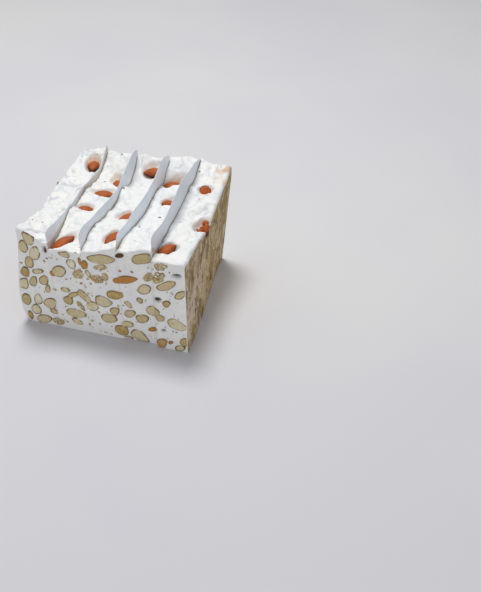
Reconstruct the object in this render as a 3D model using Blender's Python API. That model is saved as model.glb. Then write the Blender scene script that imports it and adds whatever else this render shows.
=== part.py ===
"""A slab of white almond nougat, cut into slices that still stand together.

A sheet of greaseproof paper stands in each cut, and whole almonds lie sunk in the soft, lumpy top.
Metres, +Z up. The origin is on the flat underside, at the middle of the slab's width and depth:
+X runs along the front from left to right, and +Y runs from the front to the back.
"""

import math
import random
from collections import namedtuple

import bmesh
import bpy
from mathutils import Euler, Vector, noise

# Driving dimensions, in millimetres
SLICE_WIDTHS = (26.6, 30.2, 31.9, 31.0, 29.5)
SLICE_SHIFTS = (-0.6, -1.2, -1.2, 0.6, -2.8)  # how far each slice stands towards the back
SLAB_DEPTH = 140.7
SLAB_HEIGHT = 100.0
KNIFE_GAP = 1.1
SHEET_THICKNESS = 0.4
SHEET_MARGIN = 1.4  # how far a sheet stays behind the cut faces and above the table
SHEET_CORNER = 6.0
SHEET_FOLD = 26.0  # length of a sheet's waves
SHEET_WAVE = 2.4
SHEET_RISE = 1.5  # least height of a sheet above the nougat, and of its flat part
LEFT_SWELL = 8.3  # how far the left side bellies out at the front
SWELL_HEIGHT = 25.0  # where it bellies out most
RIGHT_LEAN = 9.5  # how far the right side leans in at the back of the underside
BROAD_LUMP = (19.0, 2.6)  # length and height of the lumps on top
SMALL_LUMP = (9.0, 1.3)
NUT_RELIEF = 0.5  # how far a cut nut stands proud of its face, before it varies
NUT_ROOT = 0.6
NUT_TAPER = 0.82
NUT_CLEARANCE = 0.9
NUT_SIDES = 8
LEAST_NUT = 2.5  # a cut nut with less of it left is dropped
SHORT_EDGE = 0.3
EDGE_MARGIN = 0.8  # how far a cut nut's outline stays from the edges of its face
CREST_MARGIN = 4.5  # how far its middle stays under the top edge
PIT_DEPTH = 5.0
PIT_MARGIN = 3.5
SOCKET_GAP = 0.4
SOCKET_RISE = 14.0  # a socket's height above its almond, so that it opens upwards
GRID = 5.0  # cell of the modelled top
WALL_ROWS = (7, 1, 1, 1, 3)  # rows of cells up each slice's walls, most where a side is curved

Almond = namedtuple("Almond", "x y heading tilt length width thickness sunk")
CutNut = namedtuple("CutNut", "u v length width angle")
NutRule = namedtuple("NutRule", "seed count longest shortest narrowest widest lie spread")

# Heights of each slice's left and right top edge, at even steps from front to back
SLICE_TOPS = (
    ((104, 101, 95, 98, 100, 100, 98), (95, 93, 97, 98, 97, 97, 109)),
    ((88, 89, 96, 95, 93, 92, 105), (90, 97, 92, 90, 93, 89, 105)),
    ((92, 98, 93, 89, 94, 88, 105), (102, 99, 93, 92, 94, 92, 107)),
    ((98, 99, 93, 92, 95, 92, 107), (105, 97, 96, 98, 101, 103, 109)),
    ((97, 96, 96, 98, 101, 103, 111), (99, 98, 94, 92, 99, 104, 109)),
)

# Heights of each sheet's top edge, at the same steps
SHEET_TOPS = (
    (105, 102, 99, 100, 99, 98, 112),
    (110, 108, 104, 101, 103, 111, 113),
    (112, 109, 109, 107, 109, 116, 111),
    (116, 114, 114, 119, 120, 118, 113),
)

# Whole almonds on the top, with the depth of each one's middle under the top
WHOLE_ALMONDS = (
    Almond(-56.4, 51.6, -75, 12, 21.0, 11.6, 8.6, 5.4),
    Almond(-32.6, 16.8, 13, 2, 22.0, 12.5, 8.8, 4.2),
    Almond(-39.0, -10.6, 25, 0, 16.8, 11.6, 8.6, 4.0),
    Almond(-38.8, -59.0, 52, 13, 24.0, 11.6, 9.0, 2.8),
    Almond(-28.0, 40.6, 120, 0, 19.0, 11.5, 8.4, 5.6),
    Almond(0.6, 58.4, 195, 0, 19.0, 12.0, 8.8, 4.6),
    Almond(0.6, -9.5, 222, 0, 20.5, 11.5, 8.6, 4.6),
    Almond(4.8, -52.0, 244, 0, 20.5, 12.0, 8.6, 4.6),
    Almond(26.0, 47.0, 8, 0, 21.6, 12.0, 8.6, 4.8),
    Almond(32.4, 13.4, 15, -8, 14.8, 9.6, 7.6, 5.0),
    Almond(60.0, 33.0, -60, -62, 20.0, 13.0, 9.4, 8.4),
    Almond(70.2, -8.0, 74, 0, 21.0, 11.5, 8.6, 4.8),
    Almond(53.0, -53.0, 50, 12, 18.4, 11.0, 8.6, 3.4),
)

# The cut nuts that show on the front: place across and up, length, width and lie in degrees
FRONT_NUTS = (
    CutNut(-64.5, 96.0, 16.0, 11.0, -90), CutNut(37.5, 94.5, 21.5, 10.5, 25),
    CutNut(54.0, 92.5, 12.5, 7.5, 25), CutNut(-71.0, 86.0, 13.5, 9.0, 90),
    CutNut(-61.0, 80.5, 15.5, 10.0, 75), CutNut(-33.0, 86.5, 11.5, 8.0, -25),
    CutNut(-1.0, 78.5, 12.5, 6.0, 15), CutNut(1.5, 87.5, 26.0, 9.5, 10),
    CutNut(51.0, 79.5, 16.0, 8.0, 50), CutNut(-67.5, 70.0, 14.0, 8.5, 80),
    CutNut(-40.0, 66.0, 15.0, 11.0, 50), CutNut(-27.5, 76.5, 11.0, 8.5, -75),
    CutNut(-22.0, 66.5, 11.5, 8.5, 30), CutNut(-15.5, 78.0, 10.0, 6.5, 85),
    CutNut(-13.0, 69.0, 8.0, 4.5, -75), CutNut(2.5, 69.0, 8.5, 5.5, 90),
    CutNut(20.0, 68.5, 22.0, 8.5, 15), CutNut(41.5, 76.5, 13.5, 7.0, 50),
    CutNut(58.0, 73.0, 20.5, 8.0, 35), CutNut(-73.5, 58.0, 12.0, 8.5, 80),
    CutNut(-61.0, 61.0, 12.0, 5.5, 20), CutNut(-47.0, 62.0, 6.0, 5.0, 85),
    CutNut(-5.0, 65.0, 13.5, 8.0, 10), CutNut(36.5, 61.5, 14.0, 9.5, 35),
    CutNut(70.0, 65.5, 13.0, 6.5, 45), CutNut(-76.5, 44.5, 14.0, 9.0, 70),
    CutNut(-67.0, 49.0, 13.0, 7.0, 70), CutNut(-56.5, 52.0, 12.5, 8.5, 65),
    CutNut(-54.0, 43.0, 9.0, 5.0, 80), CutNut(-36.5, 46.0, 9.0, 6.0, 5),
    CutNut(-30.0, 42.0, 13.5, 5.0, 30), CutNut(-19.5, 42.5, 17.0, 8.0, -50),
    CutNut(9.5, 50.5, 14.5, 10.0, 5), CutNut(31.5, 48.0, 6.5, 6.0, -70),
    CutNut(57.0, 53.0, 9.0, 6.5, 55), CutNut(-35.5, 34.5, 11.0, 9.0, 60),
    CutNut(-24.0, 30.5, 11.5, 4.5, -60), CutNut(-12.5, 33.0, 12.5, 10.0, 15),
    CutNut(-2.0, 41.0, 16.5, 12.0, 0), CutNut(8.0, 32.0, 10.5, 8.5, 55),
    CutNut(20.5, 41.0, 9.5, 5.0, -50), CutNut(21.5, 31.0, 11.5, 8.5, 25),
    CutNut(43.5, 40.0, 14.0, 10.5, 25), CutNut(50.5, 35.5, 9.5, 7.5, 25),
    CutNut(65.0, 31.0, 18.0, 11.5, -15), CutNut(-77.0, 26.0, 13.5, 9.5, 80),
    CutNut(-65.5, 28.5, 13.0, 8.0, 80), CutNut(-54.0, 26.0, 14.5, 11.5, 45),
    CutNut(-29.5, 21.0, 20.5, 10.5, 0), CutNut(2.0, 22.0, 15.0, 11.0, 10),
    CutNut(18.5, 18.0, 11.5, 7.5, 5), CutNut(32.5, 27.5, 13.0, 9.5, 30),
    CutNut(42.0, 18.0, 10.5, 4.5, 35), CutNut(-76.0, 7.0, 10.5, 5.0, -85),
    CutNut(-69.0, 16.0, 12.0, 10.0, 85), CutNut(-51.5, 17.5, 8.0, 6.5, -25),
    CutNut(-48.5, 6.5, 11.5, 8.5, 0), CutNut(-29.5, 11.0, 11.0, 6.5, -25),
    CutNut(12.5, 10.0, 13.5, 12.0, -55), CutNut(71.5, 12.5, 11.0, 8.0, 65),
    CutNut(-62.5, 6.0, 15.0, 10.0, 20), CutNut(17.5, 1.0, 10.0, 5.5, 15),
    CutNut(29.0, 6.0, 19.5, 11.5, -30), CutNut(50.5, 6.0, 13.0, 9.5, 50),
    CutNut(67.5, 4.0, 10.5, 7.0, 30),
)

# Rules for the cut nuts of the other faces. Widths are shares of the length, and lies are in degrees
BACK_RULE = NutRule(23, 46, 20.0, 7.5, 0.50, 0.85, 15, 60)
LEFT_RULE = NutRule(37, 26, 19.0, 8.0, 0.40, 0.70, 84, 28)
RIGHT_RULE = NutRule(41, 26, 19.0, 8.0, 0.40, 0.70, 84, 28)

SLICE_COUNT = len(SLICE_WIDTHS)
SLAB_WIDTH = sum(SLICE_WIDTHS)
CUTS = [sum(SLICE_WIDTHS[:k]) - SLAB_WIDTH / 2 for k in range(SLICE_COUNT + 1)]


def metres(x, y, z):
    return Vector((x, y, z)) / 1000


def smooth(t):
    t = min(max(t, 0.0), 1.0)
    return t * t * (3 - 2 * t)


def along(values, t):
    """A smooth curve through evenly spaced values, with t from 0 at the first to 1 at the last."""
    place = min(max(t, 0.0), 1.0) * (len(values) - 1)
    k = min(int(place), len(values) - 2)
    f = place - k
    p, a, b, q = values[max(k - 1, 0)], values[k], values[k + 1], values[min(k + 2, len(values) - 1)]
    slope = (b - p) * f
    bend = (2 * p - 5 * a + 4 * b - q) * f**2
    twist = (3 * a - p - 3 * b + q) * f**3
    return a + 0.5 * (slope + bend + twist)


def bare_top(k, x, y):
    """The slice's top before the almonds press their pits into it."""
    across = min(max((x - CUTS[k]) / SLICE_WIDTHS[k], 0.0), 1.0)
    station = y / SLAB_DEPTH + 0.5
    left, right = SLICE_TOPS[k]
    level = along(left, station) * (1 - across) + along(right, station) * across
    for lump_length, lump_height in (BROAD_LUMP, SMALL_LUMP):
        level += lump_height * noise.noise(Vector((x, y, lump_length)) / lump_length)
    return level


def pit(x, y):
    """Depth of the pits round the whole almonds."""
    depth = 0.0
    for almond in WHOLE_ALMONDS:
        turn, lean = math.radians(almond.heading), math.radians(almond.tilt)
        half = math.hypot(almond.length / 2 * math.cos(lean), almond.thickness / 2 * math.sin(lean))
        dx, dy = x - almond.x, y - almond.y
        forward = dx * math.cos(turn) + dy * math.sin(turn)
        aside = dy * math.cos(turn) - dx * math.sin(turn)
        reach = math.hypot(forward / (half + PIT_MARGIN), aside / (almond.width / 2 + PIT_MARGIN))
        depth += PIT_DEPTH * math.exp(-(reach**4))
    return depth


def top(k, x, y):
    return bare_top(k, x, y) - pit(x, y)


def left_side(y, z):
    """The slab's left side bellies out low down, most of all at the front, and rounds in below."""
    if z < SWELL_HEIGHT:
        swell = math.sqrt(1 - 0.96 * (1 - z / SWELL_HEIGHT) ** 2)
    else:
        swell = smooth((SLAB_HEIGHT - z) / (SLAB_HEIGHT - SWELL_HEIGHT))
    fade = 1 - 0.5 * smooth(y / SLAB_DEPTH + 0.5)
    return CUTS[0] - LEFT_SWELL * swell * fade


def right_side(y, z):
    """The right side stands upright at the front and leans in below towards the back."""
    lean = RIGHT_LEAN * smooth(y / SLAB_DEPTH + 0.5) * max(1 - z / SLAB_HEIGHT, 0.0)
    return CUTS[-1] - lean


def slice_left(k, y, z):
    return left_side(y, z) if k == 0 else CUTS[k] + KNIFE_GAP / 2


def slice_right(k, y, z):
    return right_side(y, z) if k == SLICE_COUNT - 1 else CUTS[k + 1] - KNIFE_GAP / 2


def slice_front(k):
    return SLICE_SHIFTS[k] - SLAB_DEPTH / 2


def slice_back(k):
    return SLICE_SHIFTS[k] + SLAB_DEPTH / 2


def slice_at(x):
    return max(k for k in range(SLICE_COUNT) if k == 0 or CUTS[k] <= x)


def make_material(name, color, roughness):
    material = bpy.data.materials.new(name)
    material.use_nodes = True
    shader = material.node_tree.nodes["Principled BSDF"]
    shader.inputs["Base Color"].default_value = (*color, 1)
    shader.inputs["Roughness"].default_value = roughness
    shader.inputs["Metallic"].default_value = 0.0
    return material


def new_object(name, points, faces, material=None):
    mesh = bpy.data.meshes.new(name)
    mesh.from_pydata(points, [], faces)
    shell = bmesh.new()
    shell.from_mesh(mesh)
    bmesh.ops.recalc_face_normals(shell, faces=shell.faces)
    shell.to_mesh(mesh)
    shell.free()
    if material:
        mesh.materials.append(material)
    obj = bpy.data.objects.new(name, mesh)
    bpy.context.scene.collection.objects.link(obj)
    return obj


def lattice_shell(place, counts):
    """The outside of a box of cells, as (points, faces). place turns (s, t, w), 0 to 1, to a point."""
    index = {}
    points = []

    def corner(cell):
        if cell not in index:
            index[cell] = len(points)
            points.append(place(*(cell[n] / counts[n] for n in range(3))))
        return index[cell]

    faces = []
    for axis in range(3):
        one, two = (axis + 1) % 3, (axis + 2) % 3
        for end in (0, counts[axis]):
            for i in range(counts[one]):
                for j in range(counts[two]):
                    ring = []
                    for di, dj in ((0, 0), (1, 0), (1, 1), (0, 1)):
                        cell = [0, 0, 0]
                        cell[axis], cell[one], cell[two] = end, i + di, j + dj
                        ring.append(corner(tuple(cell)))
                    faces.append(ring)
    return points, faces


def make_slice(k, material):
    """One slice: flat where the knife went, lumpy on top, with the slab's own side at either end."""
    across = round(SLICE_WIDTHS[k] / GRID)
    back = round(SLAB_DEPTH / GRID)

    def place(s, t, w):
        y = slice_front(k) + (slice_back(k) - slice_front(k)) * t
        z = top(k, CUTS[k] + SLICE_WIDTHS[k] * s, y) * w**1.4
        x = slice_left(k, y, z) * (1 - s) + slice_right(k, y, z) * s
        return metres(x, y, z)

    return new_object(f"slice_{k + 1}", *lattice_shell(place, (across, back, WALL_ROWS[k])), material)


def spacing(one, two):
    """The clear distance between two cut nuts, each taken as a capsule of its length and width."""
    spines = []
    for nut in (one, two):
        turn = math.radians(nut.angle)
        reach = max(nut.length - nut.width, 0.0) / 2 * Vector((math.cos(turn), math.sin(turn)))
        spines.append([Vector((nut.u, nut.v)) + reach * f for f in (-1, -0.5, 0, 0.5, 1)])
    nearest = min((p - q).length for p in spines[0] for q in spines[1])
    return nearest - (min(one.length, one.width) + min(two.length, two.width)) / 2


def scatter(rule, field):
    """Cut nuts on one face, the largest first and each clear of the others."""
    low, high, crest = field
    draw = random.Random(rule.seed)
    nuts = []
    for n in range(rule.count):
        length = rule.longest + (rule.shortest - rule.longest) * n / (rule.count - 1)
        for _ in range(120):
            v = draw.uniform(3.5, SLAB_HEIGHT)
            u = draw.uniform(low(v) + 2, high(v) - 2)
            width = length * draw.uniform(rule.narrowest, rule.widest)
            nut = CutNut(u, v, length, width, rule.lie + draw.uniform(-rule.spread, rule.spread))
            fits = v < crest(u) - CREST_MARGIN
            if fits and all(spacing(nut, other) > NUT_CLEARANCE for other in nuts):
                nuts.append(nut)
                break
    return nuts


def inside_part(outline, inside):
    """The part of an outline where inside(point) holds. The places where it crosses are halved to."""
    kept = []
    for n, end in enumerate(outline):
        start = outline[n - 1]
        if inside(start) != inside(end):
            near, far = (start, end) if inside(start) else (end, start)
            for _ in range(8):
                middle = (near + far) / 2
                near, far = (middle, far) if inside(middle) else (near, middle)
            kept.append(near)
        if inside(end):
            kept.append(end)
    return [point for n, point in enumerate(kept) if (point - kept[n - 1]).length > SHORT_EDGE]


def nut_outline(nut, field):
    """Points round the part of a cut nut that is on the face. None if almost nothing of it is."""
    low, high, crest = field
    turn = math.radians(nut.angle)
    wobble = random.Random(round(nut.u * 100 + nut.v * 7))
    whole = []
    for n in range(NUT_SIDES):
        a = 2 * math.pi * n / NUT_SIDES
        size = wobble.uniform(0.92, 1.06)
        p = nut.length / 2 * math.cos(a) * size
        q = nut.width / 2 * math.sin(a) * size
        u = nut.u + p * math.cos(turn) - q * math.sin(turn)
        v = nut.v + p * math.sin(turn) + q * math.cos(turn)
        whole.append(Vector((u, v)))

    def on_the_face(point):
        u, v = point
        return EDGE_MARGIN < v < crest(u) - EDGE_MARGIN and low(v) < u < high(v)

    outline = inside_part(whole, on_the_face)
    if len(outline) < 3:
        return None
    extents = [max(p[i] for p in outline) - min(p[i] for p in outline) for i in (0, 1)]
    return outline if min(extents) > LEAST_NUT else None


def make_cut_nut(outline, on_face):
    """A cut nut as a low plateau, rooted under its face. on_face(u, v, out) gives a point."""
    count = len(outline)
    middle = sum(outline, Vector((0, 0))) / count
    share = 1 + 0.2 * math.sin(7 * middle.x + 3 * middle.y)
    points = [on_face(*point, -NUT_ROOT * share) for point in outline]
    points += [on_face(*middle.lerp(point, NUT_TAPER), NUT_RELIEF * share) for point in outline]
    faces = [list(range(count)), list(range(count, 2 * count))]
    for n in range(count):
        m = (n + 1) % count
        faces.append([n, m, count + m, count + n])
    return new_object("cut_nut", points, faces)


def cut_nuts_of(faces):
    """The cut nuts of one slice, on each face that it shows."""
    pieces = []
    for nuts, field, on_face in faces:
        for nut in nuts:
            outline = nut_outline(nut, field)
            if outline:
                pieces.append(make_cut_nut(outline, on_face))
    return pieces


def end_field(k, last, y):
    """The part of the front or back at depth y that slices k to last take: low, high and crest."""

    def low(z):
        return slice_left(k, y, z) + EDGE_MARGIN

    def high(z):
        return slice_right(last, y, z) - EDGE_MARGIN

    def crest(x):
        return top(min(max(slice_at(x), k), last), x, y)

    return low, high, crest


def side_field(k, x):
    """One long side of the slab, on slice k, with x at its top edge."""

    def low(z):
        return slice_front(k) + 2 * EDGE_MARGIN

    def high(z):
        return slice_back(k) - 2 * EDGE_MARGIN

    def crest(y):
        return top(k, x, y)

    return low, high, crest


def shown_faces():
    """For each slice, its faces that show, as (nuts, field, point on the face)."""
    final = SLICE_COUNT - 1
    back = scatter(BACK_RULE, end_field(0, final, SLAB_DEPTH / 2))
    faces = []
    for k in range(SLICE_COUNT):

        def on_front(x, z, out, y=slice_front(k)):
            return metres(x, y - out, z)

        def on_back(x, z, out, y=slice_back(k)):
            return metres(x, y + out, z)

        faces.append([
            (FRONT_NUTS, end_field(k, k, slice_front(k)), on_front),
            (back, end_field(k, k, slice_back(k)), on_back),
        ])
    left_field = side_field(0, CUTS[0])
    right_field = side_field(final, CUTS[-1])
    left = scatter(LEFT_RULE, left_field)
    right = scatter(RIGHT_RULE, right_field)
    faces[0].append((left, left_field, lambda y, z, out: metres(left_side(y, z) - out, y, z)))
    faces[final].append((right, right_field, lambda y, z, out: metres(right_side(y, z) + out, y, z)))
    return faces


def almond_girth(u):
    """Share of the full girth at u, from -1 at the round end to 1 at the pointed one."""
    return math.sqrt(1 - u * u) if u < 0 else (1 - u**1.7) ** 0.85


def almond_shell(length, width, thickness):
    """A whole almond lying along X, as (points, faces)."""
    stations = (-0.88, -0.52, -0.12, 0.28, 0.62, 0.87)
    sides = 8
    points = [metres(-length / 2, 0, 0)]
    for u in stations:
        for n in range(sides):
            a = 2 * math.pi * n / sides
            y = width / 2 * almond_girth(u) * math.cos(a)
            z = thickness / 2 * almond_girth(u) * math.sin(a)
            points.append(metres(u * length / 2, y, z))
    points.append(metres(length / 2, 0, 0))
    faces = []
    last = len(points) - 1
    for n in range(sides):
        m = (n + 1) % sides
        faces.append([0, 1 + n, 1 + m])
        faces.append([last, last - sides + m, last - sides + n])
        for ring in range(len(stations) - 1):
            start = 1 + ring * sides
            faces.append([start + n, start + m, start + sides + m, start + sides + n])
    return points, faces


def place_almond(obj, almond):
    level = bare_top(slice_at(almond.x), almond.x, almond.y)
    obj.location = metres(almond.x, almond.y, level - almond.sunk)
    obj.rotation_euler = Euler((0, -math.radians(almond.tilt), math.radians(almond.heading)))


def make_socket(almond):
    """The space that an almond takes out of its slice: its form, a little larger and open above."""
    sizes = (almond.length, almond.width, almond.thickness)
    socket = new_object("socket", *almond_shell(*(size + 2 * SOCKET_GAP for size in sizes)))
    place_almond(socket, almond)
    bpy.context.view_layer.update()
    lying = [socket.matrix_world @ v.co for v in socket.data.vertices]
    swept = bmesh.new()
    for rise in (0.0, SOCKET_RISE):
        for point in lying:
            swept.verts.new(point + metres(0, 0, rise))
    hull = bmesh.ops.convex_hull(swept, input=swept.verts)
    spare = hull["geom_interior"] + hull["geom_unused"]
    spare = list({v for v in spare if isinstance(v, bmesh.types.BMVert)})
    bmesh.ops.delete(swept, geom=spare, context="VERTS")
    swept.to_mesh(socket.data)
    swept.free()
    socket.location = (0, 0, 0)
    socket.rotation_euler = (0, 0, 0)
    return socket


def combine(obj, pieces, operation):
    """Applies one Boolean of the object with all the pieces, and removes the pieces."""
    if not pieces:
        return
    group = bpy.data.collections.new(obj.name + "_pieces")
    bpy.context.scene.collection.children.link(group)
    for piece in pieces:
        bpy.context.scene.collection.objects.unlink(piece)
        group.objects.link(piece)
    modifier = obj.modifiers.new(operation.lower(), "BOOLEAN")
    modifier.operand_type = "COLLECTION"
    modifier.collection = group
    modifier.operation = operation
    modifier.solver = "EXACT"
    bpy.context.view_layer.update()
    joined = obj.evaluated_get(bpy.context.evaluated_depsgraph_get())
    mesh = bpy.data.meshes.new_from_object(joined)
    obj.modifiers.clear()
    obj.data = mesh
    for piece in pieces:
        bpy.data.objects.remove(piece)
    bpy.data.collections.remove(group)


def make_sheet(k, material):
    """The paper in the cut between slices k and k + 1: flat in the cut, wavy where it stands above."""
    cut = CUTS[k + 1]
    front = max(slice_front(k), slice_front(k + 1)) + SHEET_MARGIN
    back = min(slice_back(k), slice_back(k + 1)) - SHEET_MARGIN
    rows, flat_rows = 5, 2

    def place(s, t, w):
        y = front + (back - front) * (0.5 - 0.5 * math.cos(math.pi * t))
        flat_top = max(top(k, cut, y), top(k + 1, cut, y)) + SHEET_RISE
        from_end = min(max(y - front, 0.0), max(back - y, 0.0), SHEET_CORNER)
        rounding = SHEET_CORNER - math.sqrt(from_end * (2 * SHEET_CORNER - from_end))
        rim = along(SHEET_TOPS[k], y / SLAB_DEPTH + 0.5) - rounding
        rim = max(rim, flat_top + SHEET_RISE)
        row = round(w * rows)
        rise = max(row - flat_rows, 0) / (rows - flat_rows)
        flat = min(row, flat_rows) / flat_rows
        z = SHEET_MARGIN + (flat_top - SHEET_MARGIN) * flat + (rim - flat_top) * rise
        wave = SHEET_WAVE * noise.noise(Vector((y / SHEET_FOLD, 7.0 * k, 3.0))) * rise**1.5
        return metres(cut + wave + SHEET_THICKNESS * (s - 0.5), y, z)

    return new_object(f"sheet_{k + 1}", *lattice_shell(place, (1, 18, rows)), material)


def build():
    for old in list(bpy.data.objects):
        bpy.data.objects.remove(old)
    nougat = make_material("nougat", (0.86, 0.85, 0.82), 0.6)
    paper = make_material("greaseproof_paper", (0.56, 0.60, 0.64), 0.55)
    skin = make_material("almond_skin", (0.42, 0.15, 0.05), 0.5)
    slab = bpy.data.objects.new("slab", None)
    bpy.context.scene.collection.objects.link(slab)

    faces = shown_faces()
    parts = []
    for k in range(SLICE_COUNT):
        piece = make_slice(k, nougat)
        combine(piece, cut_nuts_of(faces[k]), "UNION")
        sunk_here = [almond for almond in WHOLE_ALMONDS if slice_at(almond.x) == k]
        combine(piece, [make_socket(almond) for almond in sunk_here], "DIFFERENCE")
        parts.append(piece)
    for k in range(SLICE_COUNT - 1):
        parts.append(make_sheet(k, paper))
    for n, almond in enumerate(WHOLE_ALMONDS):
        shell = almond_shell(almond.length, almond.width, almond.thickness)
        piece = new_object(f"almond_{n + 1:02d}", *shell, skin)
        place_almond(piece, almond)
        parts.append(piece)
    for piece in parts:
        piece.parent = slab
        piece.data.shade_smooth()
        piece.data.set_sharp_from_angle(angle=math.radians(35))


build()
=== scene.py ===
import math
import random

import bmesh
import bpy
from mathutils import Euler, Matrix, Quaternion, Vector, noise


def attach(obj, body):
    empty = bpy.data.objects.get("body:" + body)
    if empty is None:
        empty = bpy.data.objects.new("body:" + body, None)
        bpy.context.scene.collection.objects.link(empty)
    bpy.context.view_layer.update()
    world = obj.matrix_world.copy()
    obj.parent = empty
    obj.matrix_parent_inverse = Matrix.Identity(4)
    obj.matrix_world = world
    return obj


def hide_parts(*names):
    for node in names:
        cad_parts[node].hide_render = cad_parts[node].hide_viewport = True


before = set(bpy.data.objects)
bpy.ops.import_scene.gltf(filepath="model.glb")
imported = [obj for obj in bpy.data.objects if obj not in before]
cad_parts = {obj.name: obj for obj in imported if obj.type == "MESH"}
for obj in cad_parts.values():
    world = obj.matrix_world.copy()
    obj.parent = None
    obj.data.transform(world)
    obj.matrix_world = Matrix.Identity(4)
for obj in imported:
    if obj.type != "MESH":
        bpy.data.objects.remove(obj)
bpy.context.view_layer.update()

# The nougat slab
# Honey and sugar cooked with whipped egg white and stirred full of almonds, then spread in a frame to set.
# A long knife trimmed its two ends and cut it into five slices, which were left standing as they fell.
# The top was never cut, so it keeps the soft lumps that the spatula left.
SLICE_WIDTHS = (26.6, 30.2, 31.9, 31.0, 29.5)
SLICE_SHIFTS = (-0.6, -1.2, -1.2, 0.6, -2.8)
SLAB_DEPTH = 140.7
SLAB_HEIGHT = 100.0
SLICE_COUNT = len(SLICE_WIDTHS)
LAST = SLICE_COUNT - 1
CUTS = [sum(SLICE_WIDTHS[:k]) - sum(SLICE_WIDTHS) / 2 for k in range(SLICE_COUNT + 1)]
LEFT_SWELL, SWELL_HEIGHT, RIGHT_LEAN = 8.3, 25.0, 9.5
FOOT_ROUND, FOOT_REACH = 0.9, 2.4
# At its ends a joint is nearly shut, and the knife smeared the two slices together over a little way.
JOINT_GAP, PAPER_GAP, SHUT_DEPTH, SMEAR_REACH = 0.08, 0.2, 1.5, 1.3
# Sizes and heights of the top's lumps
LUMPS = ((19.0, 2.6), (9.0, 1.3))
SMALL_LUMPS = ((6.5, 1.3), (3.2, 0.6))
# The top's heights along each slice's left and right edge, from the front to the back
SLICE_TOPS = (
    ((104, 101, 95, 98, 100, 100, 98), (95, 93, 97, 98, 97, 97, 109)),
    ((88, 89, 96, 95, 93, 92, 105), (90, 97, 92, 90, 93, 89, 105)),
    ((92, 98, 93, 89, 94, 88, 105), (102, 99, 93, 92, 94, 92, 107)),
    ((98, 99, 93, 92, 95, 92, 107), (105, 97, 96, 98, 101, 103, 109)),
    ((97, 96, 96, 98, 101, 103, 111), (99, 98, 94, 92, 99, 104, 109)),
)
# Whole almonds: x, y, heading, tilt, length, width, thickness and depth of the middle, as in the frame
WHOLE_ALMONDS = (
    (-56.4, 51.6, -75, 12, 21.0, 11.6, 8.6, 5.4),
    (-32.6, 16.8, 13, 2, 22.0, 12.5, 8.8, 4.2),
    (-39.0, -10.6, 25, 0, 16.8, 11.6, 8.6, 4.0),
    (-38.8, -59.0, 52, 13, 24.0, 11.6, 9.0, 2.8),
    (-28.0, 40.6, 120, 0, 19.0, 11.5, 8.4, 5.6),
    (0.6, 58.4, 195, 0, 19.0, 12.0, 8.8, 4.6),
    (0.6, -9.5, 222, 0, 20.5, 11.5, 8.6, 4.6),
    (4.8, -52.0, 244, 0, 20.5, 12.0, 8.6, 4.6),
    (26.0, 47.0, 8, 0, 21.6, 12.0, 8.6, 4.8),
    (32.4, 13.4, 15, -8, 14.8, 9.6, 7.6, 5.0),
    (60.0, 33.0, -60, -62, 20.0, 13.0, 9.4, 8.4),
    (70.2, -8.0, 74, 0, 21.0, 11.5, 8.6, 4.8),
    (53.0, -53.0, 50, 12, 18.4, 11.0, 8.6, 3.4),
)


def mm(x, y, z):
    return Vector((x, y, z)) / 1000


def smooth(t):
    t = min(max(t, 0.0), 1.0)
    return t * t * (3 - 2 * t)


def rough(x, y, z, size):
    """Noise of about -1 to 1 whose lumps are size millimetres across."""
    return noise.noise(Vector((x, y, z)) / size)


def along(values, t):
    """A smooth curve through evenly spaced values, with t from 0 at the first to 1 at the last."""
    place = min(max(t, 0.0), 1.0) * (len(values) - 1)
    k = min(int(place), len(values) - 2)
    f = place - k
    p, a, b, q = values[max(k - 1, 0)], values[k], values[k + 1], values[min(k + 2, len(values) - 1)]
    slope = (b - p) * f
    bend = (2 * p - 5 * a + 4 * b - q) * f**2
    twist = (3 * a - p - 3 * b + q) * f**3
    return a + 0.5 * (slope + bend + twist)


def bare_top(k, x, y):
    """The slice's top before the almonds press their pits into it."""
    across = min(max((x - CUTS[k]) / SLICE_WIDTHS[k], 0.0), 1.0)
    station = y / SLAB_DEPTH + 0.5
    left, right = SLICE_TOPS[k]
    level = along(left, station) * (1 - across) + along(right, station) * across
    for size, height in LUMPS:
        level += height * rough(x, y, size, size)
    return level


def slice_at(x):
    return max(k for k in range(SLICE_COUNT) if k == 0 or CUTS[k] <= x)


def by_trimmed_side(k, share):
    """Whether a share of the way across slice k is nearest to one of the slab's two long sides."""
    return (k == 0 and share < 0.5) or (k == LAST and share > 0.5)


def slice_front(k):
    return SLICE_SHIFTS[k] - SLAB_DEPTH / 2


def slice_back(k):
    return SLICE_SHIFTS[k] + SLAB_DEPTH / 2


def left_side(y, z):
    if z < SWELL_HEIGHT:
        swell = math.sqrt(max(1 - 0.96 * (1 - z / SWELL_HEIGHT) ** 2, 0.0))
    else:
        swell = smooth((SLAB_HEIGHT - z) / (SLAB_HEIGHT - SWELL_HEIGHT))
    fade = 1 - 0.5 * smooth(y / SLAB_DEPTH + 0.5)
    return CUTS[0] - LEFT_SWELL * swell * fade


def right_side(y, z):
    lean = RIGHT_LEAN * smooth(y / SLAB_DEPTH + 0.5) * max(1 - z / SLAB_HEIGHT, 0.0)
    return CUTS[-1] - lean


def end_drift(k, x, ends):
    """How far the knife drew a cut end off its slice's own line at a joint, towards the next slice's."""
    drift = 0.0
    for other, cut in ((k - 1, CUTS[k]), (k + 1, CUTS[k + 1])):
        if 0 <= other < SLICE_COUNT:
            drift += (ends(other) - ends(k)) / 2 * math.exp(-abs(x - cut) / SMEAR_REACH)
    return drift


def front_at(k, x):
    return slice_front(k) + end_drift(k, x, slice_front)


def back_at(k, x):
    return slice_back(k) + end_drift(k, x, slice_back)


def joint_gap(k, y):
    """Half the space at a joint: nearly shut at the two faces, and wider where the paper stands."""
    inside = min(y - slice_front(k), slice_back(k) - y)
    return JOINT_GAP / 2 + PAPER_GAP * smooth(inside / (2 * SHUT_DEPTH) - 0.5)


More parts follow.
